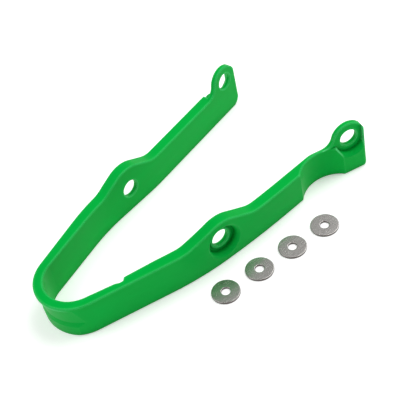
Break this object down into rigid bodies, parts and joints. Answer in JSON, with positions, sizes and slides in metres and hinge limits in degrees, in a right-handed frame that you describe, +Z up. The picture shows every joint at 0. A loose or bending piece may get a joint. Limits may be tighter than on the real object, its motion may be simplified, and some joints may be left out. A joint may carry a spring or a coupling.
{
  "type": "swingarm chain slider",
  "caption": "U-shaped moulded band that wraps a motorcycle swingarm so the chain rubs on plastic, with bolt holes in bumps and ears and loose flat washers beside it.",
  "frame": {"origin": "on the floor, under the middle of the bounding box", "axes": "+X from the round nose to the open end, +Y from the lower-run arm to the upper-run arm, +Z up across the width of the band"},
  "size_m": [0.252, 0.1646, 0.0429],
  "materials": {
    "moulded_plastic": "semi-gloss injection-moulded nylon with a fine mould texture",
    "washer_steel": "stamped stainless steel, lightly brushed faces"
  },
  "bodies": {
    "slider": {"slider_band": "moulded_plastic"},
    "loose_washer_1": {"washer_1": "washer_steel"},
    "loose_washer_2": {"washer_2": "washer_steel"},
    "loose_washer_3": {"washer_3": "washer_steel"},
    "loose_washer_4": {"washer_4": "washer_steel"}
  },
  "joints": [
    {"name": "washer_1_lift", "type": "slide", "parent": "slider", "child": "loose_washer_1", "axis": [0, 0, 1], "range_m": [0, 0.06]},
    {"name": "washer_2_lift", "type": "slide", "parent": "slider", "child": "loose_washer_2", "axis": [0, 0, 1], "range_m": [0, 0.06]},
    {"name": "washer_3_lift", "type": "slide", "parent": "slider", "child": "loose_washer_3", "axis": [0, 0, 1], "range_m": [0, 0.06]},
    {"name": "washer_4_lift", "type": "slide", "parent": "slider", "child": "loose_washer_4", "axis": [0, 0, 1], "range_m": [0, 0.06]}
  ]
}
